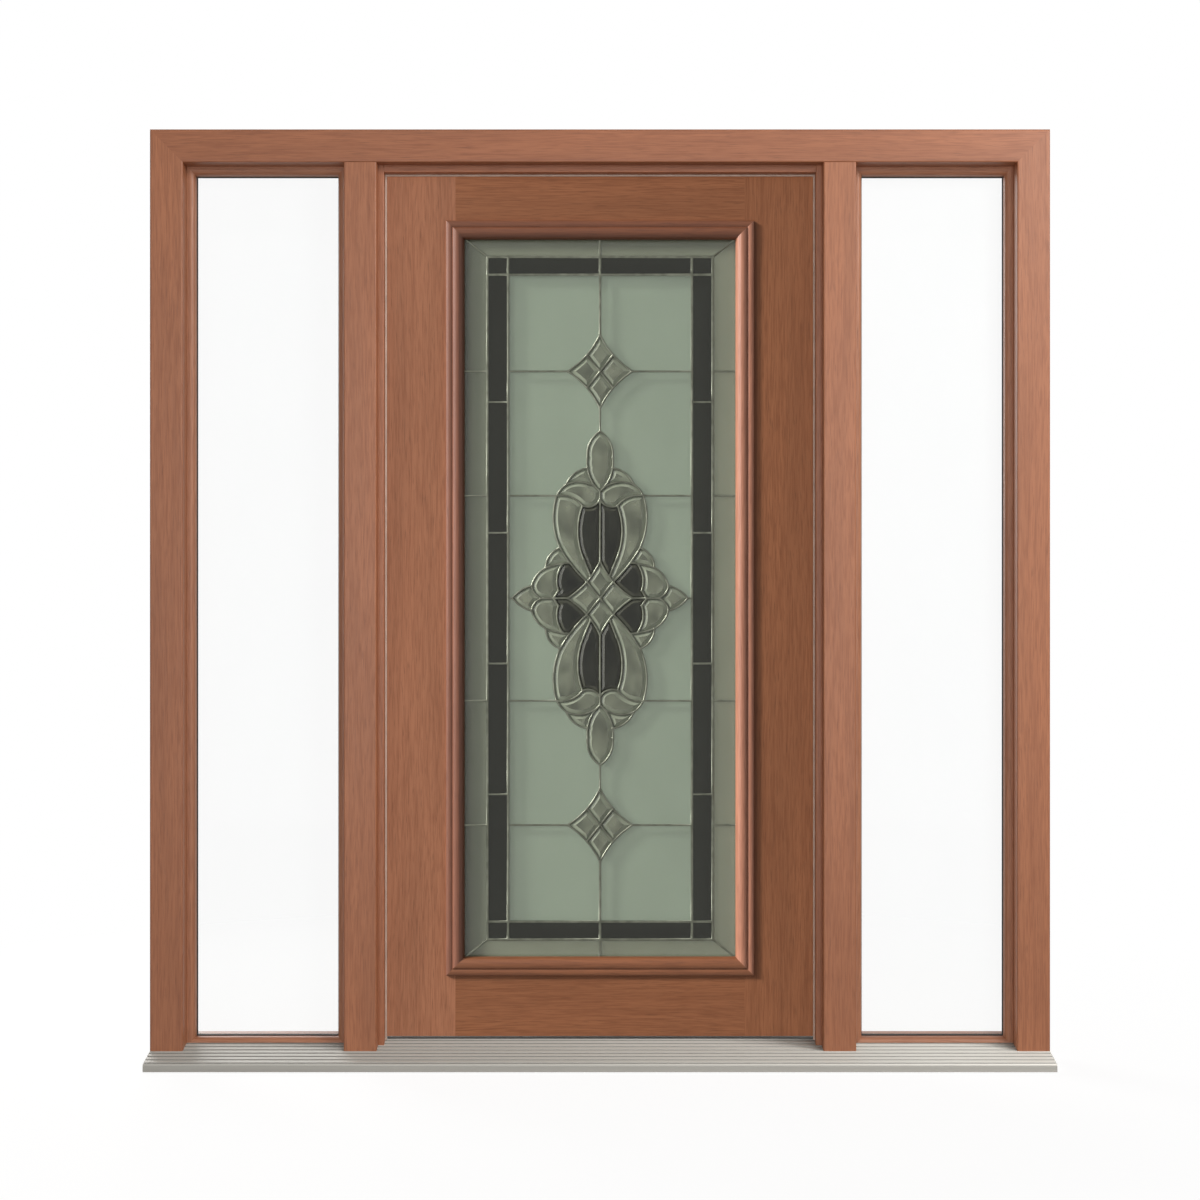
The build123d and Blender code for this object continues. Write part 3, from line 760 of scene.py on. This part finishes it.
class DOOR_OT_leadlight_panes(bpy.types.Operator):
    """Tint the plain panes and grind the bevelled ones"""

    bl_idname = "door.leadlight_panes"
    bl_label = "Leadlight panes"

    def execute(self, context):
        glass = context.scene.door_glass
        dress_node("field_glass", sheet_glass("pale_sheet_glass", glass.field_tint, cover=0.27, wave=0.1))
        border = sheet_glass("border_sheet_glass", glass.border_tint, cover=0.4, wave=0.1)
        dress_node("outer_border_glass", border)
        dark = sheet_glass("charcoal_sheet_glass", glass.dark_tint, cover=0.8, wave=0.16)
        dress_node("dark_border_glass", dark)
        # The bevels' lighter colour is a painted highlight
        bevel = bevelled_glass("ground_clear_glass", glass.clear_tint, glass.clear_bevel_highlight, 0.6)
        dark_bevel = bevelled_glass("ground_charcoal_glass", glass.dark_tint, glass.dark_bevel_highlight, 0.8)
        bevels = (
            ("motif_clear_bevels", "ground_clear_bevels", bevel, "clear_bevel_glass"),
            ("motif_dark_bevels", "ground_dark_bevels", dark_bevel, "charcoal_glass"),
        )
        for node, name, material, slot in bevels:
            piece = bevelled_panes(node, name)
            dress(piece, material)
            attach(piece, "leaf")
            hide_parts(node)
        return {"FINISHED"}


class DOOR_OT_rear_glass(bpy.types.Operator):
    """Finish the obscure pane behind the leadlight and the spacer between them"""

    bl_idname = "door.rear_glass"
    bl_label = "Obscure pane and spacer"

    def execute(self, context):
        glass = context.scene.door_glass
        dress_node("rear_obscure_pane", obscure_glass("rolled_obscure_glass", glass.rear_tint, 0.7))
        dress_node("glass_edge_spacer", mill_aluminium("spacer_aluminium", linear("9a9a94")))
        return {"FINISHED"}


# The hinges in metres, as they are in the frame. The gap is the one between their plates.
HINGE_HEIGHT = 0.102
PLATE_GAP = 0.0065
PIN_Y = 0.121
# Two lines of screws in a plate, the distance between screws along it, and the size of a head
SCREW_Y = (0.091, 0.104)
SCREW_ROW = 0.036
SCREW_DEPTH = 0.0012
SCREW_PROUD = 0.0003
# The cross recess of a head as shares of its radius
RECESS_WIDTH = 0.26
RECESS_LENGTH = 1.3
# Each screw is turned on by this angle in degrees from the one before it.
SCREW_TURN = 17
# The pin caps are flattened balls.
CAP_RADIUS = 0.0056
CAP_FLATNESS = 0.55


def joined(pieces, name):
    """Several pieces as one, with its place in its mesh."""
    deselect()
    for piece in pieces:
        piece.select_set(True)
    bpy.context.view_layer.objects.active = pieces[0]
    bpy.ops.object.transform_apply(location=True, rotation=True, scale=True)
    bpy.ops.object.join()
    whole = bpy.context.object
    whole.name = name
    pick(whole)
    bpy.ops.object.mode_set(mode="EDIT")
    bpy.ops.mesh.select_all(action="SELECT")
    bpy.ops.mesh.normals_make_consistent(inside=False)
    bpy.ops.object.mode_set(mode="OBJECT")
    bpy.ops.object.shade_smooth_by_angle(angle=math.radians(30))
    deselect()
    return whole


def screw_head(radius, turn):
    """A countersunk head that lies a little proud, with a cross recess turned by some degrees."""
    deselect()
    bpy.ops.mesh.primitive_cylinder_add(vertices=32, radius=radius, depth=SCREW_DEPTH)
    head = bpy.context.object
    head.rotation_euler = (0, math.radians(90), 0)
    head.location.x = SCREW_PROUD - SCREW_DEPTH / 2
    settle(head)
    for angle in (turn, turn + 90):
        bpy.ops.mesh.primitive_cube_add(size=1, location=(SCREW_PROUD, 0, 0))
        cutter = bpy.context.object
        cutter.scale = (SCREW_DEPTH, RECESS_WIDTH * radius, RECESS_LENGTH * radius)
        cutter.rotation_euler = (math.radians(angle), 0, 0)
        settle(cutter)
        pick(head)
        recess = head.modifiers.new("recess", "BOOLEAN")
        recess.operation = "DIFFERENCE"
        recess.object = cutter
        bpy.ops.object.modifier_apply(modifier=recess.name)
        bpy.data.meshes.remove(cutter.data)
    return head


class DOOR_OT_hinges(bpy.types.Operator):
    """Finish the hinges and add their screws and pin caps"""

    bl_idname = "door.hinges"
    bl_label = "Hinges"

    def execute(self, context):
        metal = context.scene.door_metal
        brass = satin_brass("satin_brass", metal.brass_tone)
        (low_x, _, low_z), (high_x, _, high_z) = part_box("leaf_hinge_plates")
        pin_x = (low_x + high_x) / 2
        middles = (low_z + HINGE_HEIGHT / 2, (low_z + high_z) / 2, high_z - HINGE_HEIGHT / 2)
        for body, way in (("frame", 1), ("leaf", -1)):
            dress_node(body + "_hinge_plates", brass)
            face = pin_x - way * PLATE_GAP / 2
            screws = self.add_screws(body + "_hinge_screws", metal.screw_radius, face, way, middles)
            dress(screws, brass)
            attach(screws, body)
        caps = self.add_caps(pin_x, middles)
        dress(caps, brass)
        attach(caps, "frame")
        return {"FINISHED"}

    def add_screws(self, name, radius, face, way, middles):
        """Three staggered screws in each hinge plate, whose heads face way along X."""
        heads = []
        for middle in middles:
            for row, y in ((-1, SCREW_Y[0]), (0, SCREW_Y[1]), (1, SCREW_Y[0])):
                heads.append(screw_head(radius, SCREW_TURN * (len(heads) + way)))
                heads[-1].location = (face, y, middle + row * SCREW_ROW)
                heads[-1].scale = (way, 1, 1)
        return joined(heads, name)

    def add_caps(self, pin_x, middles):
        """A low domed cap on both ends of each pin."""
        caps = []
        for middle in middles:
            for side in (-1, 1):
                end = (pin_x, PIN_Y, middle + side * HINGE_HEIGHT / 2)
                bpy.ops.mesh.primitive_uv_sphere_add(
                    segments=32, ring_count=16, radius=CAP_RADIUS, location=end
                )
                bpy.context.object.scale = (1, 1, CAP_FLATNESS)
                caps.append(bpy.context.object)
        return joined(caps, "hinge_pin_caps")


# Stage
# The photo's own camera, found from the perspective of the reveals and the sill
CAMERA_PLACE = (0, -4.76, 1.038)
CAMERA_LENS = 61.25
CAMERA_SHIFT = 0.0167
# The middle of the door set, which most lamps point at
MIDDLE = (0, 0, 1.1)
# The floor is a plane this wide, a little below the sill so that the two don't lie in one place.
FLOOR_SIZE = 60
FLOOR_DROP = 0.0005
# From this near to this far from the middle, the floor fades into the white background.
FADE_NEAR = 1.2
FADE_FAR = 2.6


def lit_group(name, pieces):
    """A collection that a lamp is limited to."""
    group = bpy.data.collections.new(name)
    for piece in pieces:
        group.objects.link(piece)
    return group


def riding(body):
    return [piece for piece in frame["bodies"][body].children_recursive if piece.type == "MESH"]


def add_lamp(lamp, place, target, receivers=None, blockers=None):
    """Stand a lamp at a place, turned to its target.

    If collections are given, it lights the receivers alone and only the blockers shade it.
    """
    thing = bpy.data.objects.new(lamp.name, lamp)
    bpy.context.scene.collection.objects.link(thing)
    thing.location = place
    way = Vector(target) - Vector(place)
    thing.rotation_euler = way.to_track_quat("-Z", "Y").to_euler()
    thing.light_linking.receiver_collection = receivers
    thing.light_linking.blocker_collection = blockers


def area_lamp(name, width, height, power):
    lamp = bpy.data.lights.new(name, "AREA")
    lamp.shape = "RECTANGLE"
    lamp.size = width
    lamp.size_y = height
    lamp.energy = power
    return lamp


def sun_lamp(name, angle, strength):
    lamp = bpy.data.lights.new(name, "SUN")
    lamp.angle = math.radians(angle)
    lamp.energy = strength
    return lamp


def seen_directly(tree):
    """1 for rays of the camera and of gloss and glass, so that they meet a white background."""
    path = add_node(tree, "LightPath").outputs
    either = {0: path["Is Camera Ray"], 1: path["Is Glossy Ray"]}
    all_three = {0: add_node(tree, "Math", either, operation="MAXIMUM"), 1: path["Is Transmission Ray"]}
    return add_node(tree, "Math", all_three, operation="MAXIMUM")


def pale_floor(name, tone):
    """Matt white paint that keeps a soft shadow near the object and fades into the background."""
    material, tree = new_material(name)
    place = add_node(tree, "TexCoord").outputs["Object"]
    away = add_node(tree, "VectorMath", {0: place}, operation="LENGTH")
    matt = add_node(tree, "BsdfDiffuse", {"Color": rgba(tone)})
    soft = add_node(tree, "BsdfDiffuse", {"Color": rgba(tone, 0.3)})
    glow = add_node(tree, "Emission", {"Color": (1, 1, 1, 1), "Strength": 0.92})
    near = add_node(tree, "AddShader", {0: soft, 1: glow})
    white = add_node(tree, "Emission", {"Color": (1, 1, 1, 1), "Strength": 1.0})
    fade = add_node(tree, "MapRange", {"Value": away, "From Min": FADE_NEAR, "From Max": FADE_FAR})
    shown = add_node(tree, "MixShader", {0: fade, 1: near, 2: white})
    both = add_node(tree, "MixShader", {0: seen_directly(tree), 1: matt, 2: shown})
    add_node(tree, "OutputMaterial", {"Surface": both})
    return material


class DOOR_OT_stage(bpy.types.Operator):
    """Set up the floor, the light and the camera"""

    bl_idname = "door.stage"
    bl_label = "Stage"

    def execute(self, context):
        self.add_floor(context)
        self.set_world(context.scene)
        self.add_lamps(context.scene.door_stage)
        self.add_camera(context.scene)
        context.scene.view_settings.view_transform = "Standard"
        return {"FINISHED"}

    def add_floor(self, context):
        deselect()
        bpy.ops.mesh.primitive_plane_add(size=FLOOR_SIZE, location=(0, 0, -FLOOR_DROP))
        floor = context.object
        floor.name = "floor"
        settle(floor)
        dress(floor, pale_floor("matt_white_floor", context.scene.door_stage.floor_tone))

    def set_world(self, scene):
        """A white background, and a low even light for all else."""
        scene.world = bpy.data.worlds.new("studio")
        scene.world.use_nodes = True
        tree = scene.world.node_tree
        tree.nodes.clear()
        grey = [scene.door_stage.ambient] * 3 + [1]
        colours = {0: seen_directly(tree), 6: grey, 7: (1, 1, 1, 1)}
        colour = add_node(tree, "Mix", colours, data_type="RGBA")
        light = add_node(tree, "Background", {"Color": colour, "Strength": 1.0})
        add_node(tree, "OutputWorld", {"Surface": light})

    def add_lamps(self, stage):
        """The photo's light: the frame lit from the upper right, the leaf from the upper left."""
        fixed = lit_group("lit_with_the_frame", riding("frame"))
        metal = lit_group("lit_with_the_sill", [frame["nodes"][node] for node in SILL_NODES])
        leaf = lit_group("lit_with_the_leaf", riding("leaf"))
        cames = lit_group("lit_with_the_cames", [bpy.data.objects["rounded_cames"]])
        rear = area_lamp("rear_lamp", 2.6, 2.6, stage.rear_lamp)
        add_lamp(rear, (-2.6, 4.2, 2.6), MIDDLE)
        fill = area_lamp("frame_fill", 4.0, 4.0, stage.frame_fill)
        add_lamp(fill, (0, -5.5, 1.0), MIDDLE, fixed)
        key = area_lamp("frame_lamp", 1.2, 1.2, stage.frame_lamp)
        add_lamp(key, (2.6, -2.6, 3.2), MIDDLE, fixed)
        top = area_lamp("sill_lamp", 0.8, 0.8, stage.sill_lamp)
        add_lamp(top, (2.4, -0.8, 2.3), (0, 0, 0.03), metal)
        strip = area_lamp("leaf_strip", 1.2, 3.2, stage.leaf_strip)
        add_lamp(strip, (-2.3, -2.2, 2.0), (0, 0, 1.3), leaf, leaf)
        sun = sun_lamp("leaf_sun", 11, stage.leaf_sun)
        add_lamp(sun, (-3.3, -1.3, 3.0), MIDDLE, leaf, leaf)
        glint = area_lamp("came_strip", 1.6, 3.4, stage.came_strip)
        add_lamp(glint, (-1.9, -2.6, 1.2), MIDDLE, cames)

    def add_camera(self, scene):
        view = bpy.data.cameras.new("camera")
        view.lens = CAMERA_LENS
        view.shift_y = CAMERA_SHIFT
        scene.camera = bpy.data.objects.new("camera", view)
        scene.collection.objects.link(scene.camera)
        scene.camera.location = CAMERA_PLACE
        scene.camera.rotation_euler = (math.radians(90), 0, 0)


class DOOR_PT_panel(bpy.types.Panel):
    """Door set tools"""

    bl_idname = "DOOR_PT_panel"
    bl_label = "Door set"
    bl_space_type = "VIEW_3D"
    bl_region_type = "UI"
    bl_category = "Door set"

    def draw(self, context):
        for step in STEPS:
            self.layout.operator(step.bl_idname)
        for group in ("door_timber", "door_glass", "door_metal", "door_stage"):
            settings = getattr(context.scene, group)
            box = self.layout.box()
            for name in settings.__annotations__:
                box.prop(settings, name)


SETTINGS = {
    "door_timber": TimberSettings,
    "door_glass": GlassSettings,
    "door_metal": MetalSettings,
    "door_stage": StageSettings,
}
STEPS = (
    DOOR_OT_frame_timber,
    DOOR_OT_leaf_timber,
    DOOR_OT_sill,
    DOOR_OT_sidelight_glazing,
    DOOR_OT_cames,
    DOOR_OT_leadlight_panes,
    DOOR_OT_rear_glass,
    DOOR_OT_hinges,
    DOOR_OT_stage,
)


def register():
    for name, group in SETTINGS.items():
        bpy.utils.register_class(group)
        setattr(bpy.types.Scene, name, bpy.props.PointerProperty(type=group))
    for step in STEPS:
        bpy.utils.register_class(step)
    bpy.utils.register_class(DOOR_PT_panel)


def unregister():
    bpy.utils.unregister_class(DOOR_PT_panel)
    for step in reversed(STEPS):
        bpy.utils.unregister_class(step)
    for name, group in SETTINGS.items():
        delattr(bpy.types.Scene, name)
        bpy.utils.unregister_class(group)


def main():
    register()
    for step in STEPS:
        module, name = step.bl_idname.split(".")
        getattr(getattr(bpy.ops, module), name)()


if __name__ == "__main__":
    main()
